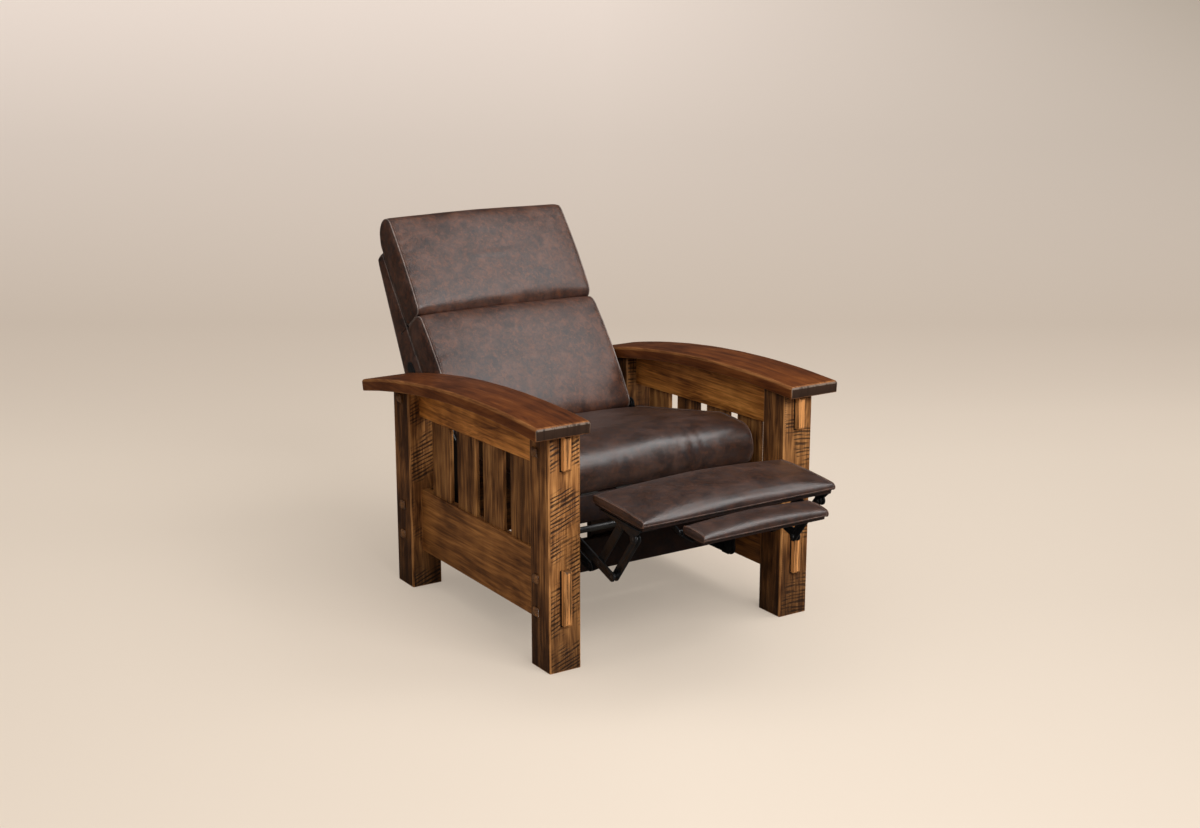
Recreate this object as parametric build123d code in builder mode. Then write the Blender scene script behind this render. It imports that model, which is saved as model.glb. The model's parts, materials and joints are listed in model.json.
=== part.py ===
from build123d import *
from math import cos, degrees, atan2, hypot, radians, sin, sqrt
import os

os.makedirs("parts", exist_ok=True)

# Millimetres. Reach runs back from the front face of the front posts, height up from the floor.
# Left is the side at -X, seen from the front. The chair is drawn open and leaned back.

# Wooden side frames
frame_width = 800
frame_depth = 820
post_width = 90
post_chamfer = 3
rail_thickness = 24
tenon_thickness = 22
tenon_stand = 18
tenon_bevel = 5
blind_tenon = 65
lower_rail_bottom = 105
lower_rail_top = 280
lower_tenon_bottom = 121
lower_tenon_top = 262
upper_rail_front_depth = 104.2
upper_rail_rear_depth = 80.3
upper_tenon_shoulder = 9
upper_tenon_neck = 10
slat_width = 100
slat_thickness = 12
slat_start = 60
slat_count = 4

# Arms, bent to a shallow arc that peaks near the front
arm_inner_overlap = 7
arm_overhang = 54.5
arm_thickness = 32
arm_front_overhang = 35
arm_rear_overhang = 85
arm_radius = 3380
arm_peak_reach = 197
arm_peak_height = 642
arm_chamfer = 4
arm_seat_gap = 0.05

# Square-headed pegs that lock the tenons
peg_head = 24
peg_head_base = 4
peg_head_point = 5
peg_head_slope = 50
peg_shank = 10
peg_end_gap = 1
front_peg_reach = 60
rear_peg_inset = 43
lower_peg_rise = 24
lower_peg_drop = 32
upper_peg_front_drop = 54
upper_peg_rear_drop = 34

# Cross members
panel_reach = 285
panel_thickness = 20
panel_bottom = 124
panel_top = 215
panel_round = 6
riser_half = 86
riser_thickness = 20
cross_rail_thickness = 50
cross_rail_inset = 20
cross_rail_drop = 160
cross_rail_height = 175
cleat_rear_gap = 36
cleat_length = 350
cleat_height = 46

# Steel base plates beside the seat
side_gap = 19.5
plate = 4
bar_height = 46
bar_front = 174
upright_foot = 52
upright_neck = 68
upright_width = 94
pivot_boss = 20

# Linkage that carries the footrest
link_gap = 1
link_width = 25
pin_radius = 4
pin_clearance = 0.05
pin_head = 7
nut_sides = 6
pin_head_height = 2
rear_crank_back = 39.7
rear_crank_drop = 21.3
crank_length = 189.5
crank_tail = 60
crank_open_angle = 18.36
coupler_forward = 92
coupler_rise = 120
rod_radius = 8
rod_share = 0.3

# Footrest, measured from the rear top edge of its main pad
footrest_overhang = 15
footrest_height = 442
footrest_tilt = 3.16
soft_gap = 0.3
pad_length = 217
pad_side_gap = 0.5
upper_pin_forward = 117.1
upper_pin_drop = 37.3
pad_thickness = 24
pad_crown = 11
board_thickness = 9.7
board_inset = 6
flange = 3
flange_width = 50
bracket_start = 30
bracket_notch_start = 95
bracket_notch_end = 145
bracket_end = 205

# Smaller pad that flips out from under the main one
flip_hinge_reach = 225.3
flip_hinge_drop = 35.6
flip_eye = 6
flip_pin = 3
flip_start = 232
flip_length = 83.5
flip_side_inset = 103
flip_drop = 20
flip_thickness = 22.3
flip_board = 8
flip_crown = 8
flip_flange_length = 42
flip_lug_start = 172

# Seat
seat_rail_height = 45
seat_rail_thickness = 24
seat_front = 118
seat_front_drop = 30
seat_back_gap = 80
seat_link_gap = 3.5
web_width = 50
web_thickness = 2.5
web_count = 5
seat_side_gap = 16
seat_nose = 18
seat_rise = 109
seat_tail = 5
seat_crown = 13
seat_draw = 9

# Back, measured from its pivot, leaned back by recline from upright
back_pivot_inset = 40
back_pivot_rise = 41
back_pivot_radius = 5
recline = 36.3
back_side_gap = 2
shell_front = 67
shell_top = 597
shell_top_depth = 104
shell_rear_height = 30
shell_rear_depth = 199
shell_bottom = 73
shell_bottom_depth = 56
shell_round = 12
cushion_front = 21
lower_cushion_bottom = -8
cushion_seam = 352
seam_gap = 3
upper_cushion_top = 664
back_crown = 12
back_draw = 9
bracket_thickness = 3.5
bracket_width = 32
bracket_mid_depth = 95
bracket_mid_height = 60
bracket_top_depth = 112
bracket_top_height = 250

# Place of the front posts' front face, so that the origin is under the middle of the chair
origin_reach = 397

front_face = -origin_reach
post_inner = frame_width / 2 - post_width
post_middle = frame_width / 2 - post_width / 2
rear_post = frame_depth - post_width
seat_back = rear_post - seat_back_gap
seat_rear_rail_reach = seat_back - seat_rail_thickness
plate_outer = post_inner - side_gap
plate_inner = plate_outer - plate
sides = {"left": -1, "right": 1}


def side_plane(x):
    return Plane(origin=(x, front_face, 0), x_dir=(0, 1, 0), z_dir=(1, 0, 0))


def arm_height(reach, depth_below):
    radius = arm_radius - depth_below
    return arm_peak_height - arm_radius + sqrt(radius**2 - (reach - arm_peak_reach) ** 2)


def arm_end(end_reach, depth_below):
    # An end of the arm is square to its arc, so both corners lie on one radius.
    share = (arm_radius - depth_below) / arm_radius
    rise = sqrt(arm_radius**2 - (end_reach - arm_peak_reach) ** 2)
    reach = arm_peak_reach + (end_reach - arm_peak_reach) * share
    return (reach, arm_peak_height - arm_radius + rise * share)


# The upper rail follows the arm, so its lower edge is measured down from its upper one.
rail_drop = arm_thickness + arm_seat_gap
upper_rail_front = arm_height(post_width, rail_drop) - upper_rail_front_depth
upper_rail_rear = arm_height(rear_post, rail_drop) - upper_rail_rear_depth


def upper_rail_height(reach):
    share = (reach - post_width) / (rear_post - post_width)
    return upper_rail_front + (upper_rail_rear - upper_rail_front) * share


def save(shape, name):
    shape.label = name
    export_step(shape, f"parts/{name}.step")


# Posts, with a mortise for each tenon and a bore for each peg
def upper_tenon(shoulder, lowest_arm):
    low = upper_rail_height(shoulder) + upper_tenon_shoulder
    high = arm_height(lowest_arm, arm_thickness) - upper_tenon_neck
    return low, high


lower_peg_heights = (lower_tenon_bottom + lower_peg_rise, lower_tenon_top - lower_peg_drop)
peg_places = {
    "front": [(front_peg_reach, height) for height in lower_peg_heights],
    "rear": [(frame_depth - rear_peg_inset, height) for height in lower_peg_heights],
}
peg_places["front"].append((front_peg_reach, arm_height(0, arm_thickness) - upper_peg_front_drop))
rear_arm_height = arm_height(rear_post, arm_thickness)
peg_places["rear"].append((frame_depth - rear_peg_inset, rear_arm_height - upper_peg_rear_drop))

front_tenon_low, front_tenon_high = upper_tenon(post_width, post_width)
rear_tenon_low, rear_tenon_high = upper_tenon(rear_post, rear_post + blind_tenon)
mortises = {
    "front": (
        (0, post_width, lower_tenon_bottom, lower_tenon_top),
        (0, post_width, front_tenon_low, front_tenon_high),
    ),
    "rear": (
        (rear_post, rear_post + blind_tenon, lower_tenon_bottom, lower_tenon_top),
        (rear_post, rear_post + blind_tenon, rear_tenon_low, rear_tenon_high),
    ),
}


def box_outline(start, end, low, high):
    return [(start, low), (end, low), (end, high), (start, high)]


def make_post(side, end_name):
    near = 0 if end_name == "front" else rear_post
    far = near + post_width
    middle = (near + far) / 2
    with BuildPart() as post:
        with BuildSketch(side_plane(side * post_inner)):
            with BuildLine():
                Polyline(
                    (near, arm_height(near, arm_thickness)),
                    (near, 0),
                    (far, 0),
                    (far, arm_height(far, arm_thickness)),
                )
                ThreePointArc(
                    (far, arm_height(far, arm_thickness)),
                    (middle, arm_height(middle, arm_thickness)),
                    (near, arm_height(near, arm_thickness)),
                )
            make_face()
        extrude(amount=side * post_width)
        chamfer(post.edges().filter_by(Axis.Z), post_chamfer)
        with BuildSketch(side_plane(side * (post_middle - tenon_thickness / 2))):
            for mortise in mortises[end_name]:
                Polygon(*box_outline(*mortise), align=None)
        extrude(amount=side * tenon_thickness, mode=Mode.SUBTRACT)
        with BuildSketch(side_plane(side * frame_width / 2)):
            with Locations(*peg_places[end_name]):
                Rectangle(peg_shank, peg_shank)
        extrude(amount=-side * (post_width / 2 + tenon_thickness / 2), mode=Mode.SUBTRACT)
    return post.part


for side_name, side in sides.items():
    for end_name in ("front", "rear"):
        save(make_post(side, end_name), f"{end_name}_post_{side_name}")


# Side rails, with through tenons in front and blind ones behind
def make_rail(side, outline, tenons):
    with BuildPart() as rail:
        with BuildSketch(side_plane(side * (post_middle - rail_thickness / 2))):
            with BuildLine():
                Polyline(*outline)
                if outline[0] != outline[-1]:
                    middle = (outline[0][0] + outline[-1][0]) / 2
                    crest = (middle, arm_height(middle, rail_drop))
                    ThreePointArc(outline[-1], crest, outline[0])
            make_face()
        extrude(amount=side * rail_thickness)
        with BuildSketch(side_plane(side * (post_middle - tenon_thickness / 2))):
            for tenon in tenons:
                Polygon(*box_outline(*tenon), align=None)
        extrude(amount=side * tenon_thickness)
        tip = rail.faces().sort_by(Axis.Y).filter_by(Axis.Y)[0]
        chamfer(tip.edges(), tenon_bevel)
        with BuildSketch(side_plane(side * frame_width / 2)):
            with Locations(*peg_places["front"], *peg_places["rear"]):
                Rectangle(peg_shank, peg_shank)
        extrude(amount=-side * (post_width / 2 + tenon_thickness / 2), mode=Mode.SUBTRACT)
    return rail.part


lower_outline = box_outline(post_width, rear_post, lower_rail_bottom, lower_rail_top)
lower_outline.append(lower_outline[0])
lower_tenons = (
    (-tenon_stand, post_width, lower_tenon_bottom, lower_tenon_top),
    (rear_post, rear_post + blind_tenon, lower_tenon_bottom, lower_tenon_top),
)
upper_outline = [
    (post_width, arm_height(post_width, rail_drop)),
    (post_width, upper_rail_front),
    (rear_post, upper_rail_rear),
    (rear_post, arm_height(rear_post, rail_drop)),
]
upper_tenons = (
    (-tenon_stand, post_width, front_tenon_low, front_tenon_high),
    (rear_post, rear_post + blind_tenon, rear_tenon_low, rear_tenon_high),
)
for side_name, side in sides.items():
    save(make_rail(side, lower_outline, lower_tenons), f"lower_side_rail_{side_name}")
    save(make_rail(side, upper_outline, upper_tenons), f"upper_side_rail_{side_name}")

# Slats between the two rails
slat_room = rear_post - post_width - 2 * slat_start
slat_pitch = (slat_room - slat_width) / (slat_count - 1)
for side_name, side in sides.items():
    for index in range(slat_count):
        slat_front = post_width + slat_start + index * slat_pitch
        slat_rear = slat_front + slat_width
        with BuildPart() as slat:
            with BuildSketch(side_plane(side * (post_middle - slat_thickness / 2))):
                Polygon(
                    (slat_front, lower_rail_top),
                    (slat_rear, lower_rail_top),
                    (slat_rear, upper_rail_height(slat_rear)),
                    (slat_front, upper_rail_height(slat_front)),
                    align=None,
                )
            extrude(amount=side * slat_thickness)
        save(slat.part, f"slat_{side_name}_{index + 1}")

# Arms
arm_front = -arm_front_overhang
arm_rear = frame_depth + arm_rear_overhang
arm_middle = (arm_front + arm_rear) / 2
for side_name, side in sides.items():
    with BuildPart() as arm:
        with BuildSketch(side_plane(side * (post_inner - arm_inner_overlap))):
            with BuildLine():
                ThreePointArc(
                    arm_end(arm_front, 0), arm_end(arm_middle, 0), arm_end(arm_rear, 0)
                )
                Line(arm_end(arm_rear, 0), arm_end(arm_rear, arm_thickness))
                ThreePointArc(
                    arm_end(arm_rear, arm_thickness),
                    arm_end(arm_middle, arm_thickness),
                    arm_end(arm_front, arm_thickness),
                )
                Line(arm_end(arm_front, arm_thickness), arm_end(arm_front, 0))
            make_face()
        extrude(amount=side * (arm_inner_overlap + post_width + arm_overhang))
        chamfer(arm.faces().sort_by(Axis.Z)[-1].edges(), arm_chamfer)
    save(arm.part, f"arm_{side_name}")

# Pegs: a bevelled square head outside the post and a square shank through the tenon
with BuildPart() as frame_pegs:
    for side in sides.values():
        head_plane = side_plane(side * frame_width / 2)
        for places in peg_places.values():
            with BuildSketch(head_plane):
                with Locations(*places):
                    Rectangle(peg_shank, peg_shank)
            extrude(amount=-side * (post_width / 2 + tenon_thickness / 2 - peg_end_gap))
            with BuildSketch(head_plane):
                with Locations(*places):
                    Rectangle(peg_head, peg_head)
            extrude(amount=side * peg_head_base)
            for place in places:
                with BuildSketch(head_plane.offset(side * peg_head_base)):
                    with Locations(place):
                        Rectangle(peg_head, peg_head)
                extrude(amount=side * peg_head_point, taper=peg_head_slope)
save(frame_pegs.part, "frame_pegs")

# Cross panel in front, wrapped in leather, between the two base bars
with BuildPart() as front_cross_panel:
    with BuildSketch(side_plane(-plate_outer)):
        Polygon(
            *box_outline(panel_reach, panel_reach + panel_thickness, panel_bottom, panel_top),
            align=None,
        )
    extrude(amount=2 * plate_outer)
    fillet(front_cross_panel.edges().filter_by(Axis.X), panel_round)
save(front_cross_panel.part, "front_cross_panel")

# Wooden cleats that join each base bar to its lower side rail
cleat_end = seat_rear_rail_reach - cleat_rear_gap
bar_outer = plate_outer + plate
rail_inner = post_middle - rail_thickness / 2
with BuildPart() as mount_cleats:
    for side in sides.values():
        with BuildSketch(side_plane(side * bar_outer)):
            Polygon(
                *box_outline(
                    cleat_end - cleat_length,
                    cleat_end,
                    panel_bottom,
                    panel_bottom + cleat_height,
                ),
                align=None,
            )
        extrude(amount=side * (rail_inner - bar_outer))
save(mount_cleats.part, "mount_cleats")

# Base bars: flat steel with a round front end
cross_rail_front = rear_post + cross_rail_inset
bar_middle = panel_bottom + bar_height / 2
for side_name, side in sides.items():
    with BuildPart() as base_bar:
        with BuildSketch(side_plane(side * plate_outer)):
            Polygon(
                *box_outline(
                    bar_front + bar_height / 2,
                    cross_rail_front,
                    panel_bottom,
                    panel_bottom + bar_height,
                ),
                align=None,
            )
            with Locations((bar_front + bar_height / 2, bar_middle)):
                Circle(bar_height / 2)
        extrude(amount=side * plate)
    save(base_bar.part, f"base_bar_{side_name}")

# Linkage points, with the footrest open, from the main pad back to the base
def pad_point(forward, up):
    angle = radians(footrest_tilt)
    reach = -footrest_overhang - forward * cos(angle) - up * sin(angle)
    return (reach, footrest_height - forward * sin(angle) + up * cos(angle))


def along_crank(start, distance):
    angle = radians(crank_open_angle)
    return (start[0] - distance * cos(angle), start[1] - distance * sin(angle))


def along_coupler(start):
    return (start[0] - coupler_forward, start[1] + coupler_rise)


upper_pin = pad_point(upper_pin_forward, -upper_pin_drop)
knee = (upper_pin[0] + coupler_forward, upper_pin[1] - coupler_rise)
crank_pivot = along_crank(knee, -crank_length)
rear_pivot = (crank_pivot[0] + rear_crank_back, crank_pivot[1] - rear_crank_drop)
rear_knee = along_crank(rear_pivot, crank_length)
toe = along_crank(crank_pivot, crank_length + crank_tail)
front_pin = along_coupler(toe)
rod_place = along_crank(crank_pivot, crank_length * rod_share)

# Layers of the linkage, from the base plate inwards
link_outer = plate_inner - link_gap
link_inner = link_outer - plate
coupler_outer = link_inner - link_gap
coupler_inner = coupler_outer - plate
third_outer = coupler_inner - pin_head_height - link_gap
third_inner = third_outer - plate

# Seat rails: a wooden box frame over the linkage
seat_rail_bottom = crank_pivot[1] + link_width / 2 + seat_link_gap
seat_rail_top = seat_rail_bottom + seat_rail_height
seat_inner = plate_inner - seat_rail_thickness
for side_name, side in sides.items():
    with BuildPart() as seat_side_rail:
        with BuildSketch(side_plane(side * seat_inner)):
            Polygon(
                *box_outline(seat_front, seat_rear_rail_reach, seat_rail_bottom, seat_rail_top),
                align=None,
            )
        extrude(amount=side * seat_rail_thickness)
    save(seat_side_rail.part, f"seat_side_rail_{side_name}")

# Cross rails of the seat: the front one hangs lower, the middle one stands on the riser
riser_reach = panel_reach + panel_thickness
seat_cross_rails = {
    "seat_front_rail": (seat_front, seat_rail_bottom - seat_front_drop, seat_inner),
    "seat_middle_rail": (riser_reach, seat_rail_bottom, seat_inner),
    "seat_rear_rail": (seat_rear_rail_reach, seat_rail_bottom, bar_outer),
}
for name, (reach, bottom, half) in seat_cross_rails.items():
    with BuildPart() as seat_cross_rail:
        with BuildSketch(side_plane(-half)):
            Polygon(
                *box_outline(reach, reach + seat_rail_thickness, bottom, seat_rail_top),
                align=None,
            )
        extrude(amount=2 * half)
    save(seat_cross_rail.part, name)

with BuildPart() as seat_riser:
    with BuildSketch(side_plane(-riser_half)):
        Polygon(
            *box_outline(riser_reach, riser_reach + riser_thickness, panel_bottom, seat_rail_bottom),
            align=None,
        )
    extrude(amount=2 * riser_half)
save(seat_riser.part, "seat_riser")

with BuildPart() as seat_webbing:
    with BuildSketch(Plane.XY.offset(seat_rail_top)):
        web_middle = front_face + (seat_front + seat_back) / 2
        with Locations((0, web_middle)):
            with GridLocations(2 * seat_inner / web_count, 1, web_count, 1):
                Rectangle(web_width, seat_back - seat_front)
    extrude(amount=web_thickness)
save(seat_webbing.part, "seat_webbing")

# Front uprights, screwed to the seat rails, with the two crank pivots
upright_rear = crank_pivot[0] + upright_width
for side_name, side in sides.items():
    with BuildPart() as front_upright:
        with BuildSketch(side_plane(side * plate_outer)):
            Polygon(
                (bar_front, panel_bottom + bar_height / 2),
                (bar_front + bar_height / 2, panel_bottom),
                (bar_front + upright_foot, panel_bottom),
                (rear_pivot[0] + pivot_boss, rear_pivot[1] - pivot_boss),
                (upright_rear, seat_rail_bottom),
                (upright_rear, seat_rail_top),
                (seat_front, seat_rail_top),
                (crank_pivot[0] - pivot_boss, crank_pivot[1] - pivot_boss / 2),
                (rear_pivot[0] - pivot_boss, rear_pivot[1] - upright_neck),
                align=None,
            )
            with Locations(crank_pivot, rear_pivot):
                Circle(pivot_boss)
            with Locations(crank_pivot, rear_pivot):
                Circle(pin_radius, mode=Mode.SUBTRACT)
        extrude(amount=-side * plate)
    save(front_upright.part, f"front_upright_{side_name}")

# Cross rail between the rear posts, below the back
back_pivot = (rear_post - back_pivot_inset, seat_rail_top + back_pivot_rise)
cross_rail_top = back_pivot[1] - cross_rail_drop
with BuildPart() as rear_cross_rail:
    with BuildSketch(side_plane(-post_inner)):
        Polygon(
            *box_outline(
                cross_rail_front,
                cross_rail_front + cross_rail_thickness,
                cross_rail_top - cross_rail_height,
                cross_rail_top,
            ),
            align=None,
        )
    extrude(amount=2 * post_inner)
save(rear_cross_rail.part, "rear_cross_rail")

# Rear uprights, outside the base bars, with the back's pivot
for side_name, side in sides.items():
    with BuildPart() as rear_upright:
        with BuildSketch(side_plane(side * bar_outer)):
            Polygon(
                (seat_rear_rail_reach, panel_bottom),
                (cross_rail_front, panel_bottom),
                (cross_rail_front, panel_bottom + bar_height),
                (back_pivot[0] + pivot_boss, back_pivot[1]),
                (back_pivot[0] - pivot_boss, back_pivot[1]),
                (seat_rear_rail_reach, seat_rail_top),
                align=None,
            )
            with Locations(back_pivot):
                Circle(pivot_boss)
            with Locations(back_pivot):
                Circle(back_pivot_radius, mode=Mode.SUBTRACT)
        extrude(amount=side * plate)
    save(rear_upright.part, f"rear_upright_{side_name}")


def add_pin(side, place, radius, outer, inner):
    extrude(disc(side * inner, place, radius), amount=side * (outer - inner))


def add_nut(side, place, outer):
    height = pin_head_height
    extrude(hexagon(side * (outer - height), place, pin_head), amount=side * height)


def disc(x, place, radius):
    with BuildSketch(side_plane(x)) as round_face:
        with Locations(place):
            Circle(radius)
    return round_face.sketch


def hexagon(x, place, radius):
    with BuildSketch(side_plane(x)) as nut_face:
        with Locations(place):
            RegularPolygon(radius, nut_sides)
    return nut_face.sketch


# Pins fixed to the base plates: crank pivots with nuts inside, back pivots with nuts outside
shell_half = bar_outer - link_gap - bracket_thickness
with BuildPart() as base_pins:
    for side in sides.values():
        for place in (crank_pivot, rear_pivot):
            add_pin(side, place, pin_radius, plate_outer, link_inner)
            add_nut(side, place, link_inner)
        add_pin(side, back_pivot, back_pivot_radius, bar_outer + plate, shell_half)
        add_nut(side, back_pivot, bar_outer + plate + pin_head_height)
save(base_pins.part, "base_pins")


# Links: flat steel with round ends, along a chain of pivots
def make_link(side, outer, pivots, fixed):
    with BuildPart() as link:
        with BuildSketch(side_plane(side * outer)):
            for start, end in zip(pivots, pivots[1:]):
                run = hypot(end[0] - start[0], end[1] - start[1])
                turn = degrees(atan2(end[1] - start[1], end[0] - start[0]))
                with Locations(((start[0] + end[0]) / 2, (start[1] + end[1]) / 2)):
                    SlotCenterToCenter(run, link_width, rotation=turn)
            for place in pivots:
                hole = pin_radius if place in fixed else pin_radius + pin_clearance
                with Locations(place):
                    Circle(hole, mode=Mode.SUBTRACT)
        extrude(amount=-side * plate)
    return link.part


links = {
    "crank": (link_outer, (crank_pivot, knee, toe), (knee, toe)),
    "rear_crank": (link_outer, (rear_pivot, rear_knee), ()),
    "coupler": (coupler_outer, (rear_knee, knee, upper_pin), (rear_knee, upper_pin)),
    "front_link": (third_outer, (toe, front_pin), ()),
}
for side_name, side in sides.items():
    for name, (outer, pivots, fixed) in links.items():
        save(make_link(side, outer, pivots, fixed), f"{name}_{side_name}")

# Cross rod that makes the two cranks turn as one
with BuildPart() as crank_cross_rod:
    with BuildSketch(side_plane(-link_inner)):
        with Locations(rod_place):
            Circle(rod_radius)
    extrude(amount=2 * link_inner)
save(crank_cross_rod.part, "crank_cross_rod")


# Pins that travel with the linkage, flush outside, with a nut inside
def add_nutted_pin(side, place, inner):
    add_pin(side, place, pin_radius, link_outer, inner)
    add_nut(side, place, inner)


def add_collar(side, place):
    height = link_inner - third_outer - pin_clearance
    extrude(hexagon(side * (link_inner - height), place, pin_head), amount=side * height)


with BuildPart() as crank_pins:
    for side in sides.values():
        add_nutted_pin(side, knee, coupler_inner - pin_clearance)
        add_nutted_pin(side, toe, third_inner - pin_clearance)
        add_collar(side, toe)
save(crank_pins.part, "crank_pins")

with BuildPart() as coupler_pins:
    for side in sides.values():
        add_nutted_pin(side, rear_knee, coupler_inner)
        add_nutted_pin(side, upper_pin, coupler_inner)
save(coupler_pins.part, "coupler_pins")

with BuildPart() as bracket_pins:
    for side in sides.values():
        add_nutted_pin(side, front_pin, third_inner - pin_clearance)
        add_collar(side, front_pin)
save(bracket_pins.part, "bracket_pins")

# Footrest brackets: a web with both pins, flanged under the board and notched for the links
with BuildPart() as ottoman_brackets:
    for side in sides.values():
        with BuildSketch(side_plane(side * link_outer)):
            Polygon(
                pad_point(bracket_start, -pad_thickness),
                pad_point(bracket_end, -pad_thickness),
                front_pin,
                upper_pin,
                align=None,
            )
            with Locations(upper_pin, front_pin):
                Circle(link_width / 2)
            with Locations(front_pin):
                Circle(pin_radius, mode=Mode.SUBTRACT)
            with Locations(upper_pin):
                Circle(pin_radius + pin_clearance, mode=Mode.SUBTRACT)
        extrude(amount=-side * plate)
        with BuildSketch(side_plane(side * link_outer)):
            for start, end in (
                (bracket_start, bracket_notch_start),
                (bracket_notch_end, bracket_end),
            ):
                Polygon(
                    pad_point(start, -pad_thickness),
                    pad_point(end, -pad_thickness),
                    pad_point(end, -pad_thickness - flange),
                    pad_point(start, -pad_thickness - flange),
                    align=None,
                )
        extrude(amount=-side * flange_width)
save(ottoman_brackets.part, "ottoman_brackets")


# Soft parts: a closed outline with swollen edges, drawn in at both ends and crowned in the middle.
# Each corner is a share of the length and of the height, with the swell of the edge after it.
edge_shares = (0.2, 0.5, 0.8)


def soft_outline(length, height, corner_shares, draw, crown):
    corners = []
    for length_share, height_share, swell_share in corner_shares:
        corner_length = draw + length_share * (length - 2 * draw)
        corner_height = draw + height_share * (height - 2 * draw + crown)
        corners.append((Vector(corner_length, corner_height), swell_share * height))
    outline = []
    for (start, swell), (end, _) in zip(corners, corners[1:] + corners[:1]):
        outline.append(start)
        if swell:
            outward = (end - start).rotate(Axis.Z, -90).normalized()
            for share in edge_shares:
                lift = 4 * share * (1 - share) * swell
                outline.append(start + (end - start) * share + outward * lift)
    return [(point.X, point.Y) for point in outline]


station_shares = (-1, -0.95, 0, 0.95, 1)
draw_shares = (1, 0, 0, 0, 1)
crown_shares = (0, 0.2, 1, 0.2, 0)


def soft_body(place_at, half, length, height, corner_shares, draw, crown):
    sections = []
    for station, drawn, raised in zip(station_shares, draw_shares, crown_shares):
        outline = soft_outline(length, height, corner_shares, draw * drawn, crown * raised)
        with BuildSketch(place_at(half * station)) as section:
            Polygon(*outline, align=None)
        sections.append(section.sketch)
    with BuildPart() as cushion:
        loft(sections, ruled=True)
    return cushion.part


# Footrest pads on their boards
pad_half = plate_outer - pad_side_gap
flip_half = pad_half - flip_side_inset


def pad_plane(x, forward, up):
    angle = radians(footrest_tilt)
    reach, height = pad_point(forward, up)
    return Plane(
        origin=(x, front_face + reach, height),
        x_dir=(0, -cos(angle), -sin(angle)),
        z_dir=(-1, 0, 0),
    )


pad_soft = pad_thickness - board_thickness - soft_gap
pad_corner_shares = (
    (0, 0, 0),
    (1, 0, 0.1),
    (1, 0.9, 0.06),
    (0.94, 1, 0.2),
    (0.06, 1, 0.06),
    (0, 0.9, 0),
)
save(
    soft_body(
        lambda x: pad_plane(x, 0, -pad_soft),
        pad_half,
        pad_length,
        pad_soft,
        pad_corner_shares,
        board_inset / 2,
        pad_crown,
    ),
    "ottoman_pad",
)

with BuildPart() as ottoman_board:
    with BuildSketch(pad_plane(0, 0, -pad_thickness)):
        Polygon(
            (board_inset, 0),
            (pad_length - board_inset, 0),
            (pad_length - board_inset, board_thickness),
            (board_inset, board_thickness),
            align=None,
        )
    extrude(amount=pad_half - board_inset, both=True)
save(ottoman_board.part, "ottoman_board")

# Small pad, its board, and the hinge that lets it fold under the main pad
flip_soft = flip_thickness - flip_board - soft_gap
flip_bottom = flip_drop + flip_thickness
save(
    soft_body(
        lambda x: pad_plane(x, flip_start, -flip_drop - flip_soft),
        flip_half,
        flip_length,
        flip_soft,
        pad_corner_shares,
        board_inset / 2,
        flip_crown,
    ),
    "flipper_pad",
)

with BuildPart() as flipper_board:
    with BuildSketch(pad_plane(0, flip_start, -flip_bottom)):
        Polygon(
            (0, 0),
            (flip_length - board_inset, 0),
            (flip_length - board_inset, flip_board),
            (0, flip_board),
            align=None,
        )
    extrude(amount=flip_half - board_inset, both=True)
save(flipper_board.part, "flipper_board")

flip_hinge = pad_point(flip_hinge_reach, -flip_hinge_drop)
leaf_outer = flip_half - link_gap
leaf_inner = leaf_outer - plate
lug_inner = flip_half + link_gap
with BuildPart() as flipper_leaves:
    for side in sides.values():
        with BuildSketch(side_plane(side * leaf_outer)):
            with Locations(flip_hinge):
                Circle(flip_eye)
            Polygon(
                pad_point(flip_hinge_reach - flip_eye, -flip_hinge_drop),
                pad_point(flip_hinge_reach + flip_eye, -flip_hinge_drop),
                pad_point(flip_hinge_reach + flip_eye, -flip_bottom - flange),
                pad_point(flip_hinge_reach - flip_eye, -flip_bottom - flange),
                align=None,
            )
            with Locations(flip_hinge):
                Circle(flip_pin + pin_clearance, mode=Mode.SUBTRACT)
        extrude(amount=-side * plate)
        with BuildSketch(side_plane(side * leaf_outer)):
            Polygon(
                pad_point(flip_hinge_reach - flip_eye, -flip_bottom),
                pad_point(flip_start + flip_flange_length, -flip_bottom),
                pad_point(flip_start + flip_flange_length, -flip_bottom - flange),
                pad_point(flip_hinge_reach - flip_eye, -flip_bottom - flange),
                align=None,
            )
        extrude(amount=-side * flange_width / 2)
save(flipper_leaves.part, "flipper_leaves")

with BuildPart() as flipper_lugs:
    for side in sides.values():
        with BuildSketch(side_plane(side * lug_inner)):
            Polygon(
                pad_point(flip_lug_start, -pad_thickness),
                pad_point(pad_length - board_inset, -pad_thickness),
                pad_point(flip_hinge_reach, -flip_hinge_drop + flip_eye),
                pad_point(flip_hinge_reach, -flip_hinge_drop - flip_eye),
                align=None,
            )
            with Locations(flip_hinge):
                Circle(flip_eye)
        extrude(amount=side * plate)
        add_pin(side, flip_hinge, flip_pin, lug_inner, leaf_inner)
save(flipper_lugs.part, "flipper_lugs")

# Seat cushion over the webbing, with a rolled nose
seat_half = post_inner - seat_side_gap
seat_cushion_front = seat_front - seat_nose
seat_length = seat_back + seat_tail - seat_cushion_front
seat_bottom = seat_rail_top + web_thickness + soft_gap
seat_corner_shares = (
    (0.035, 0, 0),
    (1, 0, 0),
    (0.995, 0.35, 0),
    (0.25, 0.99, 0),
    (0.085, 0.93, 0.08),
    (0.012, 0.62, 0.09),
)


def seat_plane(x):
    origin = (x, front_face + seat_cushion_front, seat_bottom)
    return Plane(origin=origin, x_dir=(0, 1, 0), z_dir=(1, 0, 0))


save(
    soft_body(
        seat_plane, seat_half, seat_length, seat_rise, seat_corner_shares, seat_draw, seat_crown
    ),
    "seat_cushion",
)


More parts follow.
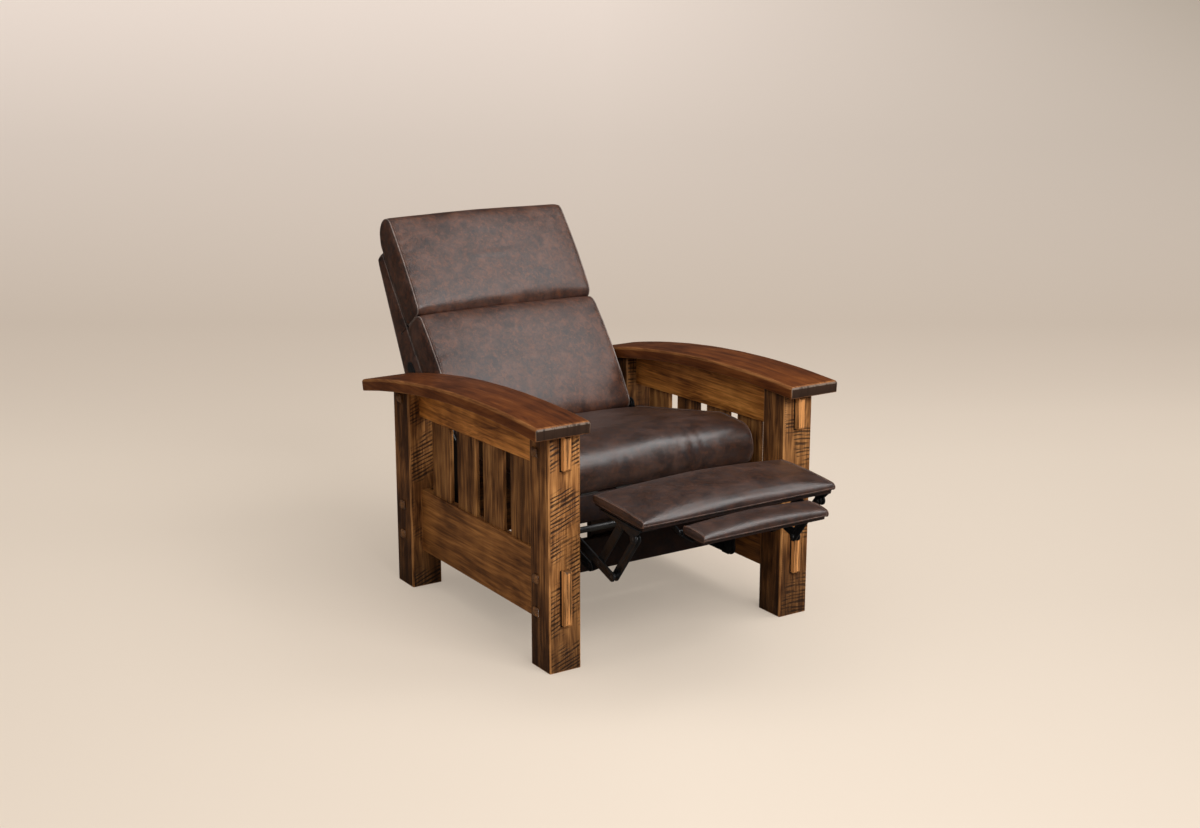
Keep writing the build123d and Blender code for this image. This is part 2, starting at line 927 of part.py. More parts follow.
# Back: two cushions against an upholstered shell, on steel brackets
def back_plane(x, depth, height):
    angle = radians(recline)
    reach = back_pivot[0] + depth * cos(angle) + height * sin(angle)
    rise = back_pivot[1] - depth * sin(angle) + height * cos(angle)
    return Plane(
        origin=(x, front_face + reach, rise),
        x_dir=(0, cos(angle), -sin(angle)),
        z_dir=(1, 0, 0),
    )


with BuildPart() as back_shell:
    with BuildSketch(back_plane(-shell_half, 0, 0)):
        Polygon(
            (shell_bottom_depth, -shell_bottom),
            (shell_rear_depth, shell_rear_height),
            (shell_top_depth, shell_top),
            (shell_front, shell_top),
            (shell_front, -shell_bottom_depth / 2),
            align=None,
        )
    extrude(amount=2 * shell_half)
    rear_edges = back_shell.faces().sort_by(Axis.Y)[-1].edges()
    fillet(rear_edges, shell_round)
save(back_shell.part, "back_shell")

# A back cushion is drawn from its rear face forwards, with its length up the back.
def cushion_plane(x, height):
    seat = back_plane(x, shell_front - soft_gap, height)
    angle = radians(recline)
    return Plane(origin=seat.origin, x_dir=(0, sin(angle), cos(angle)), z_dir=(1, 0, 0))


back_half = shell_half - back_side_gap
back_thickness = shell_front - soft_gap + cushion_front
lower_back_shares = (
    (0, 0, 0),
    (1, 0, 0),
    (1, 0.82, 0.04),
    (0.95, 1, 0.1),
    (0.05, 1, 0.04),
    (0, 0.82, 0),
)
upper_back_shares = (
    (0, 0, 0),
    (0.78, 0, 0),
    (0.93, 0.13, 0.04),
    (1, 0.5, 0.08),
    (0.955, 1, 0.06),
    (0.05, 1, 0.04),
    (0, 0.82, 0),
)
upper_cushion_bottom = cushion_seam + seam_gap
back_cushions = {
    "lower_back_cushion": (lower_cushion_bottom, cushion_seam, lower_back_shares),
    "upper_back_cushion": (upper_cushion_bottom, upper_cushion_top, upper_back_shares),
}
for name, (low, high, corner_shares) in back_cushions.items():
    save(
        soft_body(
            lambda x: cushion_plane(x, low),
            back_half,
            high - low,
            back_thickness,
            corner_shares,
            back_draw,
            back_crown,
        ),
        name,
    )

# Back brackets: from the pivot up the sides of the shell
bracket_points = (
    (0, 0),
    (bracket_mid_depth, bracket_mid_height),
    (bracket_top_depth, bracket_top_height),
)
for side_name, side in sides.items():
    with BuildPart() as back_bracket:
        with BuildSketch(back_plane(side * shell_half, 0, 0)):
            for start, end in zip(bracket_points, bracket_points[1:]):
                run = hypot(end[0] - start[0], end[1] - start[1])
                turn = degrees(atan2(end[1] - start[1], end[0] - start[0]))
                with Locations(((start[0] + end[0]) / 2, (start[1] + end[1]) / 2)):
                    SlotCenterToCenter(run, bracket_width, rotation=turn)
            Circle(back_pivot_radius + pin_clearance, mode=Mode.SUBTRACT)
        extrude(amount=side * bracket_thickness)
    save(back_bracket.part, f"back_bracket_{side_name}")
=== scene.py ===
import bpy
import json
import math
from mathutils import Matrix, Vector, kdtree, noise


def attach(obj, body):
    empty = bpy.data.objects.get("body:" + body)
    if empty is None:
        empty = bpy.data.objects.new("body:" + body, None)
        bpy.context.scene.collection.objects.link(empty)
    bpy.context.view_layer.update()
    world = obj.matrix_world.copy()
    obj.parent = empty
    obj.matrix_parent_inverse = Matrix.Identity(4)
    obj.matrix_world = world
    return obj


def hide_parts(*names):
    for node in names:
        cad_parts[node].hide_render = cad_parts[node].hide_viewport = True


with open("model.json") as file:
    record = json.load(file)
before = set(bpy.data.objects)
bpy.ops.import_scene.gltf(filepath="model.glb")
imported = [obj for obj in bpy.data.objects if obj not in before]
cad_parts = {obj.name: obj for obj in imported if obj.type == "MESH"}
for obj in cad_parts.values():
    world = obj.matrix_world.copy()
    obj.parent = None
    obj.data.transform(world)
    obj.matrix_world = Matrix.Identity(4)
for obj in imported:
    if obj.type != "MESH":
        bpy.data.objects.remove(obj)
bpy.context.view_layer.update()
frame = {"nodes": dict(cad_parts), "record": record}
nodes = frame["nodes"]
scene = bpy.context.scene
scene.view_settings.view_transform = "Standard"
print("frame loaded,", len(nodes), "nodes")


def deselectAll():
    if bpy.context.mode != "OBJECT":
        bpy.ops.object.mode_set(mode="OBJECT")
    bpy.ops.object.select_all(action="DESELECT")


def pick(piece):
    deselectAll()
    piece.select_set(True)
    bpy.context.view_layer.objects.active = piece


def applyAll(piece):
    pick(piece)
    for modifier in list(piece.modifiers):
        bpy.ops.object.modifier_apply(modifier=modifier.name)


def copyNode(nodeName, pieceName):
    # a node's mesh is loose triangles, so the copy is merged and its flat faces are joined
    piece = nodes[nodeName].copy()
    piece.data = nodes[nodeName].data.copy()
    piece.name = piece.data.name = pieceName
    piece.parent = None
    for key in list(piece.keys()):
        del piece[key]
    scene.collection.objects.link(piece)
    pick(piece)
    bpy.ops.object.mode_set(mode="EDIT")
    bpy.ops.mesh.select_all(action="SELECT")
    bpy.ops.mesh.remove_doubles(threshold=0.00002)
    bpy.ops.mesh.dissolve_limited(angle_limit=math.radians(1))
    bpy.ops.object.mode_set(mode="OBJECT")
    return piece


def dress(piece, *materials):
    piece.data.materials.clear()
    for material in materials:
        piece.data.materials.append(material)


# the camera that was fitted to the photo
cameraValues = {
    "place": (-2.430885, -3.760770, 1.670714),
    "azimuth": -32.894,
    "elevation": 14.479,
    "lens": 52.0126,
    "sensor": 36,
}
azimuth = math.radians(cameraValues["azimuth"])
elevation = math.radians(cameraValues["elevation"])
towardsCamera = Vector((
    math.sin(azimuth) * math.cos(elevation),
    -math.cos(azimuth) * math.cos(elevation),
    math.sin(elevation),
))
bpy.ops.object.camera_add(location=cameraValues["place"])
camera = bpy.context.object
camera.name = "photoCamera"
camera.rotation_euler = towardsCamera.to_track_quat("Z", "Y").to_euler()
camera.data.lens = cameraValues["lens"]
camera.data.sensor_width = cameraValues["sensor"]
camera.data.sensor_fit = "HORIZONTAL"
camera.data.clip_end = 200
scene.camera = camera


def addNode(tree, kind, values=None, **settings):
    made = tree.nodes.new(kind)
    for name, value in settings.items():
        setattr(made, name, value)
    for name, value in (values or {}).items():
        made.inputs[name].default_value = value
    return made


def join(tree, source, socket):
    if isinstance(source, bpy.types.NodeSocket):
        tree.links.new(source, socket)
    else:
        socket.default_value = source


def maths(tree, operation, first, second=0.0, clamp=False):
    made = addNode(tree, "ShaderNodeMath", operation=operation, use_clamp=clamp)
    join(tree, first, made.inputs[0])
    join(tree, second, made.inputs[1])
    return made.outputs[0]


def spread(tree, value, low, high, newLow=0.0, newHigh=1.0):
    made = addNode(tree, "ShaderNodeMapRange")
    join(tree, value, made.inputs["Value"])
    for name, number in zip(("From Min", "From Max", "To Min", "To Max"), (low, high, newLow, newHigh)):
        made.inputs[name].default_value = number
    return made.outputs["Result"]


def mixColour(tree, factor, first, second, blend="MIX"):
    made = addNode(tree, "ShaderNodeMix", data_type="RGBA", blend_type=blend)
    join(tree, factor, made.inputs[0])
    join(tree, first, made.inputs[6])
    join(tree, second, made.inputs[7])
    return made.outputs[2]


def colourRamp(tree, value, stops):
    made = addNode(tree, "ShaderNodeValToRGB")
    ramp = made.color_ramp
    while len(ramp.elements) < len(stops):
        ramp.elements.new(0.5)
    for element, (place, colour) in zip(ramp.elements, stops):
        element.position = place
        element.color = (*colour, 1)
    join(tree, value, made.inputs["Fac"])
    return made.outputs["Color"]


def noiseAt(tree, vector, scale, detail=2.0, roughness=0.5, distortion=0.0):
    values = {"Scale": scale, "Detail": detail, "Roughness": roughness, "Distortion": distortion}
    made = addNode(tree, "ShaderNodeTexNoise", values)
    join(tree, vector, made.inputs["Vector"])
    return made.outputs["Fac"]


def stretch(tree, vector, scale=(1, 1, 1), turn=(0, 0, 0)):
    values = {"Scale": scale, "Rotation": [math.radians(angle) for angle in turn]}
    made = addNode(tree, "ShaderNodeMapping", values)
    join(tree, vector, made.inputs["Vector"])
    return made.outputs["Vector"]


def newGroup(name, inputs, outputs):
    tree = bpy.data.node_groups.new(name, "ShaderNodeTree")
    for socketName, kind, value in inputs:
        socket = tree.interface.new_socket(socketName, in_out="INPUT", socket_type="NodeSocket" + kind)
        if value is not None:
            socket.default_value = value
    for socketName, kind in outputs:
        tree.interface.new_socket(socketName, in_out="OUTPUT", socket_type="NodeSocket" + kind)
    return tree, addNode(tree, "NodeGroupInput").outputs, addNode(tree, "NodeGroupOutput").inputs


def newMaterial(name, **shaderValues):
    material = bpy.data.materials.new(name)
    material.use_nodes = True
    tree = material.node_tree
    shader = tree.nodes["Principled BSDF"]
    for socketName, value in shaderValues.items():
        shader.inputs[socketName.replace("_", " ")].default_value = value
    return material, tree, shader


def useGroup(tree, group, **values):
    made = addNode(tree, "ShaderNodeGroup")
    made.node_tree = group
    for name, value in values.items():
        join(tree, value, made.inputs[name])
    return made.outputs


def objectPlace(tree):
    return addNode(tree, "ShaderNodeTexCoord").outputs["Object"]


sawnValues = {
    "randomShift": 7.0,
    "figureScale": 13,
    "ringPitch": 70.0,
    "ringShare": 0.035,
    "fibreScale": 240,
    "coarseScale": 55,
    "coarseShare": 0.55,
    "patchScale": 7,
    "patchShare": 0.45,
    "strokeStretch": 0.16,
    "wanderScale": 45,
    "wander": 14.0,
    "strokeEdges": (-0.10, 0.45),
    "brokenScale": 110,
    "brokenEdges": (0.36, 0.46),
    "clusterScale": 12,
    "clusterEdges": (0.42, 0.52),
    "tickScale": 120,
    "tickEdges": (0.57, 0.64),
    "rungPitch": 1300.0,
    "rungWander": 9.0,
    "rungEdges": (-0.1, 0.6),
}


def makeSawnWood():
    # the grain runs along Z of the vector that comes in
    tree, given, out = newGroup(
        "sawnWood",
        [("Vector", "Vector", None), ("Slope", "Float", None), ("Pitch", "Float", None)],
        [("Tone", "Float"), ("Fibre", "Float"), ("Strokes", "Float"), ("Ticks", "Float")],
    )
    random = addNode(tree, "ShaderNodeObjectInfo").outputs["Random"]
    randomShift = maths(tree, "MULTIPLY", random, sawnValues["randomShift"])
    shift = addNode(tree, "ShaderNodeCombineXYZ")
    for socket in shift.inputs:
        tree.links.new(randomShift, socket)
    moved = addNode(tree, "ShaderNodeVectorMath", operation="ADD")
    tree.links.new(given["Vector"], moved.inputs[0])
    tree.links.new(shift.outputs[0], moved.inputs[1])
    place = moved.outputs[0]

    figure = noiseAt(tree, stretch(tree, place, (1, 1, 0.13)), sawnValues["figureScale"], 3, 0.5, 1.2)
    rings = maths(tree, "SINE", maths(tree, "MULTIPLY", figure, sawnValues["ringPitch"]))
    fibre = noiseAt(tree, stretch(tree, place, (1, 1, 0.04)), sawnValues["fibreScale"], 5, 0.6)
    coarse = noiseAt(tree, stretch(tree, place, (1, 1, 0.07)), sawnValues["coarseScale"], 3, 0.55, 0.4)
    patches = noiseAt(tree, place, sawnValues["patchScale"], 3, 0.55)
    tone = maths(
        tree, "ADD",
        maths(tree, "MULTIPLY", coarse, sawnValues["coarseShare"]),
        maths(tree, "MULTIPLY", patches, sawnValues["patchShare"]),
    )
    tone = maths(tree, "ADD", tone, maths(tree, "MULTIPLY", rings, sawnValues["ringShare"]))

    # saw strokes: thin parallel lines, a little off square to the grain, in broken clusters
    split = addNode(tree, "ShaderNodeSeparateXYZ")
    tree.links.new(place, split.inputs[0])
    across = maths(tree, "ADD", split.outputs["X"], split.outputs["Y"])
    level = maths(tree, "SUBTRACT", split.outputs["Z"], maths(tree, "MULTIPLY", across, given["Slope"]))
    strokePlace = addNode(tree, "ShaderNodeCombineXYZ")
    tree.links.new(level, strokePlace.inputs["Z"])
    tree.links.new(maths(tree, "MULTIPLY", across, sawnValues["strokeStretch"]), strokePlace.inputs["X"])
    wander = noiseAt(tree, strokePlace.outputs[0], sawnValues["wanderScale"], 3, 0.6)
    phase = maths(
        tree, "ADD",
        maths(tree, "MULTIPLY", level, given["Pitch"]),
        maths(tree, "MULTIPLY", wander, sawnValues["wander"]),
    )
    stroke = spread(tree, maths(tree, "SINE", phase), *sawnValues["strokeEdges"])
    broken = noiseAt(tree, strokePlace.outputs[0], sawnValues["brokenScale"], 2, 0.6)
    broken = spread(tree, broken, *sawnValues["brokenEdges"])
    cluster = noiseAt(tree, place, sawnValues["clusterScale"], 3, 0.5)
    cluster = spread(tree, cluster, *sawnValues["clusterEdges"])
    strokes = maths(tree, "MULTIPLY", maths(tree, "MULTIPLY", stroke, broken), cluster, True)

    # fine ladder of tick marks that follows single fibres
    line = noiseAt(tree, stretch(tree, place, (1, 1, 0.02)), sawnValues["tickScale"], 2, 0.5)
    line = spread(tree, line, *sawnValues["tickEdges"])
    rungPhase = maths(
        tree, "ADD",
        maths(tree, "MULTIPLY", split.outputs["Z"], sawnValues["rungPitch"]),
        maths(tree, "MULTIPLY", coarse, sawnValues["rungWander"]),
    )
    rung = spread(tree, maths(tree, "SINE", rungPhase), *sawnValues["rungEdges"])
    ticks = maths(tree, "MULTIPLY", line, rung)

    for name, value in (("Tone", tone), ("Fibre", fibre), ("Strokes", strokes), ("Ticks", ticks)):
        tree.links.new(value, out[name])
    return tree


sawnWood = makeSawnWood()
grainTurns = {"upright": (0, 0, 0), "lengthwise": (90, 0, 0), "sideways": (0, 90, 0)}
fibreShare = 0.35
floorShadeHeight = 0.30


def makeWood(name, grain, values):
    material, tree, shader = newMaterial(name, Coat_Weight=values["coat"], Coat_Roughness=0.3)
    shader.inputs["Specular IOR Level"].default_value = values["gloss"]
    whole = objectPlace(tree)
    place = stretch(tree, whole, turn=grainTurns[grain])
    wood = useGroup(tree, sawnWood, Vector=place, Slope=values["slope"], Pitch=values["pitch"])
    facing = addNode(tree, "ShaderNodeSeparateXYZ")
    tree.links.new(addNode(tree, "ShaderNodeNewGeometry").outputs["Normal"], facing.inputs[0])
    onFront = spread(tree, maths(tree, "ABSOLUTE", facing.outputs["Y"]), 0.55, 0.75)
    # faces that look along X are painted darker, a painted shade on the sides of a piece; a share below zero
    # paints them lighter instead, a painted light
    sideShadeMask = spread(tree, maths(tree, "ABSOLUTE", facing.outputs["X"]), 0.55, 0.75)
    tone = maths(
        tree, "ADD",
        maths(tree, "MULTIPLY", wood["Fibre"], fibreShare),
        maths(tree, "MULTIPLY", wood["Tone"], 1 - fibreShare),
    )
    tone = spread(tree, tone, 0.30, 0.70, 0.5 - 0.2 * values["contrast"], 0.5 + 0.2 * values["contrast"])
    tone = maths(tree, "SUBTRACT", tone, maths(tree, "MULTIPLY", sideShadeMask, values["paintedSideShade"]))
    colour = colourRamp(tree, tone, values["stain"])
    stroked = maths(tree, "MULTIPLY", onFront, values["strokes"])
    strokes = maths(tree, "MULTIPLY", wood["Strokes"], stroked)
    # where a face has saw strokes it has few ticks
    calmer = spread(tree, stroked, 0, 1, values["ticks"], 0.15 * values["ticks"])
    marks = maths(tree, "MAXIMUM", strokes, maths(tree, "MULTIPLY", wood["Ticks"], calmer), True)
    colour = mixColour(tree, marks, colour, (*values["markColour"], 1))
    ahead = addNode(tree, "ShaderNodeSeparateXYZ")
    tree.links.new(whole, ahead.inputs[0])
    if "paintedFloorShade" in values:
        # a foot is painted darker towards the floor, a painted shade
        floorShadeMask = spread(tree, ahead.outputs["Z"], floorShadeHeight, 0.0, 0.0, values["paintedFloorShade"])
        colour = mixColour(tree, floorShadeMask, colour, (*values["markColour"], 1))
    if "endColour" in values:
        # the front end of a rail or an arm shows another stain, and a rail's is dark on top
        onEnd = spread(tree, ahead.outputs["Y"], values["endPlace"], values["endPlace"] - 0.002)
        grooves = noiseAt(tree, stretch(tree, whole, (1, 1, 0.03)), 130, 3, 0.6)
        grooves = spread(tree, grooves, 0.38, 0.50, values["endGroove"], 1.0)
        endTone = mixColour(tree, 1.0, (*values["endColour"], 1), grooves, "MULTIPLY")
        upward = spread(tree, facing.outputs["Z"], 0.5, 0.7, 0.0, values["endTop"])
        endTone = mixColour(tree, upward, endTone, (*values["markColour"], 1))
        colour = mixColour(tree, onEnd, colour, endTone)
    tree.links.new(colour, shader.inputs["Base Color"])
    rough = spread(tree, wood["Tone"], 0.3, 0.7, values["roughness"] + 0.08, values["roughness"] - 0.06)
    tree.links.new(rough, shader.inputs["Roughness"])
    bump = addNode(tree, "ShaderNodeBump", {"Strength": 0.6, "Distance": values["relief"]})
    height = maths(tree, "SUBTRACT", maths(tree, "MULTIPLY", wood["Fibre"], fibreShare), marks)
    tree.links.new(height, bump.inputs["Height"])
    tree.links.new(bump.outputs[0], shader.inputs["Normal"])
    return material


brownStain = [
    (0.34, (0.050, 0.018, 0.006)),
    (0.45, (0.140, 0.055, 0.016)),
    (0.55, (0.260, 0.110, 0.033)),
    (0.67, (0.420, 0.195, 0.062)),
]
darkStain = [
    (0.36, (0.050, 0.018, 0.006)),
    (0.47, (0.135, 0.051, 0.014)),
    (0.57, (0.225, 0.090, 0.024)),
    (0.68, (0.340, 0.145, 0.040)),
]
orangeStain = [
    (0.34, (0.075, 0.024, 0.006)),
    (0.45, (0.210, 0.074, 0.015)),
    (0.55, (0.360, 0.138, 0.030)),
    (0.67, (0.540, 0.230, 0.055)),
]
armStain = [
    (0.36, (0.032, 0.009, 0.003)),
    (0.48, (0.092, 0.024, 0.006)),
    (0.58, (0.152, 0.044, 0.010)),
    (0.70, (0.230, 0.078, 0.020)),
]
# the edge stains are lighter than the faces, partly wear and partly a painted highlight along the edges
wornGlintStain = [
    (0.35, (0.080, 0.028, 0.009)),
    (0.48, (0.300, 0.127, 0.038)),
    (0.62, (0.560, 0.260, 0.088)),
]
woodValues = {
    "slope": 0.36,
    "pitch": 590.0,
    "strokes": 0.95,
    "ticks": 0.6,
    "paintedSideShade": 0.05,
    "contrast": 1.5,
    "stain": brownStain,
    "markColour": (0.020, 0.010, 0.006),
    "roughness": 0.44,
    "gloss": 0.24,
    "coat": 0.0,
    "relief": 0.0012,
    "endGroove": 0.12,
    "endTop": 0.8,
}
armValues = {
    **woodValues,
    "strokes": 0.0,
    "ticks": 0.10,
    "paintedSideShade": -0.06,
    "contrast": 0.95,
    "stain": armStain,
    "roughness": 0.42,
    "gloss": 0.20,
    "relief": 0.0004,
    "endGroove": 0.75,
    "endTop": 0.0,
}
wornGlintValues = {**woodValues, "strokes": 0.0, "ticks": 0.8, "paintedSideShade": 0.0, "stain": wornGlintStain}
railValues = {
    **woodValues,
    "strokes": 0.0,
    "ticks": 0.16,
    "paintedSideShade": 0.0,
    "contrast": 1.2,
    "stain": darkStain,
    "endColour": (0.72, 0.320, 0.105),
    "endPlace": -0.3972,
}


def brighter(stain, share):
    return [(place, tuple(share * part for part in colour)) for place, colour in stain]


levelPostValues = {
    **woodValues,
    "slope": -0.06,
    "pitch": 560.0,
    "strokes": 0.78,
    "paintedSideShade": 0.10,
    "ticks": 0.25,
    "paintedFloorShade": 0.5,
}
postValues = {
    **woodValues,
    "stain": brighter(brownStain, 1.3),
    "strokes": 0.88,
    "paintedSideShade": 0.09,
    "paintedFloorShade": 0.6,
}
postWood = makeWood("postWood", "upright", postValues)
levelPostWood = makeWood("levelPostWood", "upright", levelPostValues)
slatWood = makeWood("slatWood", "upright", {**woodValues, "strokes": 0.0, "ticks": 0.8, "paintedSideShade": 0.0})
railWood = makeWood("railWood", "lengthwise", {**railValues, "stain": brighter(darkStain, 1.35)})
upperRailWood = makeWood("upperRailWood", "lengthwise", {**railValues, "stain": brighter(orangeStain, 1.7)})
crossRailWood = makeWood("crossRailWood", "sideways", {**railValues, "endPlace": -1.0})
armFaceValues = {**armValues, "endColour": (0.040, 0.021, 0.013), "endPlace": -0.4270}
armWood = makeWood("armWood", "lengthwise", armFaceValues)
wornGlintUpright = makeWood("wornGlintUpright", "upright", wornGlintValues)
wornGlintLengthwise = makeWood("wornGlintLengthwise", "lengthwise", wornGlintValues)
armEdgeGlintStain = [
    (0.36, (0.070, 0.022, 0.006)),
    (0.50, (0.190, 0.068, 0.019)),
    (0.66, (0.360, 0.150, 0.045)),
]
# the pale grey end colour on the arm's front edge is partly wear and partly a painted highlight
armEdgeGlintValues = {
    **armValues,
    "stain": armEdgeGlintStain,
    "endColour": (0.17, 0.125, 0.095),
    "endPlace": -0.4290,
    "endGroove": 0.25,
}
wornGlintArm = makeWood("wornGlintArm", "lengthwise", armEdgeGlintValues)
pegValues = {**armValues, "stain": brighter(darkStain, 0.8), "roughness": 0.24, "gloss": 0.8, "coat": 0.8}
pegWood = makeWood("pegWood", "sideways", pegValues)
innerValues = {**woodValues, "strokes": 0.0, "ticks": 0.1, "paintedSideShade": 0.0}
innerStain = [(0.36, (0.016, 0.009, 0.006)), (0.66, (0.055, 0.030, 0.018))]
innerWood = makeWood("innerWood", "lengthwise", {**innerValues, "stain": innerStain})
# a near-black stain for painted shadow lines
shadowLineStain = [(0.36, (0.002, 0.0015, 0.001)), (0.66, (0.006, 0.004, 0.003))]
shadowLineWood = makeWood("shadowLineWood", "upright", {**innerValues, "stain": shadowLineStain})
print("wood materials made")


skinValues = {
    "cloudScale": 15,
    "darkScale": 40,
    "darkEdges": (0.42, 0.68),
    "darkShare": 0.74,
    "redScale": 80,
    "redEdges": (0.46, 0.68),
    "redShare": 0.68,
    "grainScale": 520.0,
    "grainShare": 0.35,
    "creaseScale": 60,
}


def makeLeatherSkin():
    tree, given, out = newGroup(
        "leatherSkin",
        [("Vector", "Vector", None)],
        [("Cloud", "Float"), ("Dark", "Float"), ("Red", "Float"), ("Height", "Float")],
    )
    place = given["Vector"]
    cloud = noiseAt(tree, place, skinValues["cloudScale"], 6, 0.62, 0.4)
    dark = noiseAt(tree, place, skinValues["darkScale"], 8, 0.70, 0.8)
    dark = spread(tree, dark, *skinValues["darkEdges"])
    shifted = stretch(tree, place, (1.1, 0.9, 1.0), (20, 35, 10))
    red = noiseAt(tree, shifted, skinValues["redScale"], 8, 0.72, 1.0)
    red = spread(tree, red, *skinValues["redEdges"])
    cells = addNode(tree, "ShaderNodeTexVoronoi", {"Scale": skinValues["grainScale"]}, feature="DISTANCE_TO_EDGE")
    tree.links.new(place, cells.inputs["Vector"])
    pebble = spread(tree, cells.outputs["Distance"], 0.0, 0.25)
    creases = stretch(tree, place, (1, 1, 1.6), (0, 0, 25))
    creases = noiseAt(tree, creases, skinValues["creaseScale"], 4, 0.6, 1.0)
    height = maths(tree, "ADD", maths(tree, "MULTIPLY", pebble, skinValues["grainShare"]), creases)
    for name, value in (("Cloud", cloud), ("Dark", dark), ("Red", red), ("Height", height)):
        tree.links.new(value, out[name])
    return tree


leatherSkin = makeLeatherSkin()


def makeLeather(name, values):
    material, tree, shader = newMaterial(name)
    skin = useGroup(tree, leatherSkin, Vector=objectPlace(tree))
    colour = colourRamp(tree, skin["Cloud"], values["hide"])
    red = maths(tree, "MULTIPLY", skin["Red"], skinValues["redShare"])
    dark = maths(tree, "MULTIPLY", skin["Dark"], skinValues["darkShare"])
    colour = mixColour(tree, red, colour, (*values["red"], 1))
    colour = mixColour(tree, dark, colour, (*values["dark"], 1))
    tree.links.new(colour, shader.inputs["Base Color"])
    rough = spread(tree, skin["Cloud"], 0.3, 0.7, values["roughness"] - 0.05, values["roughness"] + 0.07)
    tree.links.new(rough, shader.inputs["Roughness"])
    bump = addNode(tree, "ShaderNodeBump", {"Strength": 0.35, "Distance": 0.0008})
    tree.links.new(skin["Height"], bump.inputs["Height"])
    tree.links.new(bump.outputs[0], shader.inputs["Normal"])
    shader.inputs["Specular IOR Level"].default_value = values["gloss"]
    return material


hideValues = {
    "hide": [(0.34, (0.031, 0.014, 0.009)), (0.50, (0.071, 0.034, 0.023)), (0.66, (0.113, 0.057, 0.041))],
    "red": (0.190, 0.062, 0.026),
    "dark": (0.012, 0.012, 0.015),
    "roughness": 0.33,
    "gloss": 0.53,
}
# the trim's hide is darker than the main hide, partly its own colour and partly a painted shade for where it sits
# under the seat and behind the pads
trimValues = {
    **hideValues,
    "hide": [(0.32, (0.014, 0.007, 0.005)), (0.50, (0.024, 0.012, 0.009)), (0.68, (0.036, 0.018, 0.013))],
    "red": (0.044, 0.018, 0.010),
    "roughness": 0.50,
    "gloss": 0.20,
}
seatLeather = makeLeather("seatLeather", hideValues)
# the seat and the pads get a darker hide than the back, a painted shade over their tops and the seat's lower
# front, and more gloss
seatShadeValues = {
    **hideValues,
    "hide": brighter(hideValues["hide"], 0.58),
    "red": (0.095, 0.035, 0.018),
    "gloss": 0.85,
}
seatShadeLeather = makeLeather("seatShadeLeather", seatShadeValues)
trimLeather = makeLeather("trimLeather", trimValues)

# seam welt, paler than the hide as a painted highlight along the seams, and thread, paler too, partly its own
# colour and partly a painted highlight
seamHighlightValues = {
    **hideValues,
    "hide": [(0.32, (0.140, 0.098, 0.084)), (0.50, (0.230, 0.172, 0.150)), (0.68, (0.330, 0.262, 0.236))],
    "red": (0.190, 0.110, 0.080),
    "dark": (0.060, 0.050, 0.046),
    "roughness": 0.28,
}
seamHighlightLeather = makeLeather("seamHighlightLeather", seamHighlightValues)
# the welts of the seat and the pads are paler than their hide, partly their own colour and partly a milder
# painted highlight
hemValues = {
    **hideValues,
    "hide": [(0.32, (0.070, 0.040, 0.030)), (0.50, (0.110, 0.064, 0.048)), (0.68, (0.150, 0.092, 0.072))],
}
hemLeather = makeLeather("hemLeather", hemValues)
threadMaterial, tree, shader = newMaterial("waxedThread", Roughness=0.45)
twist = noiseAt(tree, objectPlace(tree), 900, 2)
threadStain = [(0.4, (0.160, 0.115, 0.095)), (0.6, (0.300, 0.235, 0.205))]
tree.links.new(colourRamp(tree, twist, threadStain), shader.inputs["Base Color"])
print("leather materials made")


def makeSteel(name, values):
    material, tree, shader = newMaterial(name, Metallic=values["metallic"])
    place = objectPlace(tree)
    speckle = noiseAt(tree, place, 420, 4, 0.6)
    smear = noiseAt(tree, place, 22, 4, 0.6, 0.5)
    tree.links.new(colourRamp(tree, smear, values["paint"]), shader.inputs["Base Color"])
    rough = spread(tree, smear, 0.3, 0.7, values["roughness"] - 0.08, values["roughness"] + 0.12)
    tree.links.new(rough, shader.inputs["Roughness"])
    bump = addNode(tree, "ShaderNodeBump", {"Strength": 0.2, "Distance": 0.0003})
    tree.links.new(speckle, bump.inputs["Height"])
    tree.links.new(bump.outputs[0], shader.inputs["Normal"])
    return material


blackSteel = makeSteel("blackSteel", {
    "metallic": 0.35,
    "roughness": 0.34,
    "paint": [(0.35, (0.008, 0.009, 0.010)), (0.65, (0.020, 0.021, 0.023))],
})
darkZinc = makeSteel("darkZinc", {
    "metallic": 0.85,
    "roughness": 0.36,
    "paint": [(0.35, (0.060, 0.060, 0.062)), (0.65, (0.130, 0.128, 0.125))],
})

webMaterial, tree, shader = newMaterial("wovenWebbing", Roughness=0.85)
place = objectPlace(tree)
bands = []
for direction in ("X", "Y"):
    band = addNode(tree, "ShaderNodeTexWave", {"Scale": 160.0, "Distortion": 0.4}, bands_direction=direction)
    tree.links.new(place, band.inputs["Vector"])
    bands.append(band.outputs["Fac"])
threads = maths(tree, "MULTIPLY", *bands)
webbingStain = [(0.1, (0.020, 0.018, 0.016)), (0.8, (0.075, 0.068, 0.060))]
tree.links.new(colourRamp(tree, threads, webbingStain), shader.inputs["Base Color"])
bump = addNode(tree, "ShaderNodeBump", {"Strength": 0.5, "Distance": 0.0006})
tree.links.new(threads, bump.inputs["Height"])
tree.links.new(bump.outputs[0], shader.inputs["Normal"])
print("metal and webbing made")


# wooden pieces keep the CAD shape with its edges eased, and the eased edges are painted lighter, partly as wear
# and partly as a painted highlight along the edges
woodEdges = {"post": 0.0030, "rail": 0.0018, "arm": 0.0040, "peg": 0.0036}


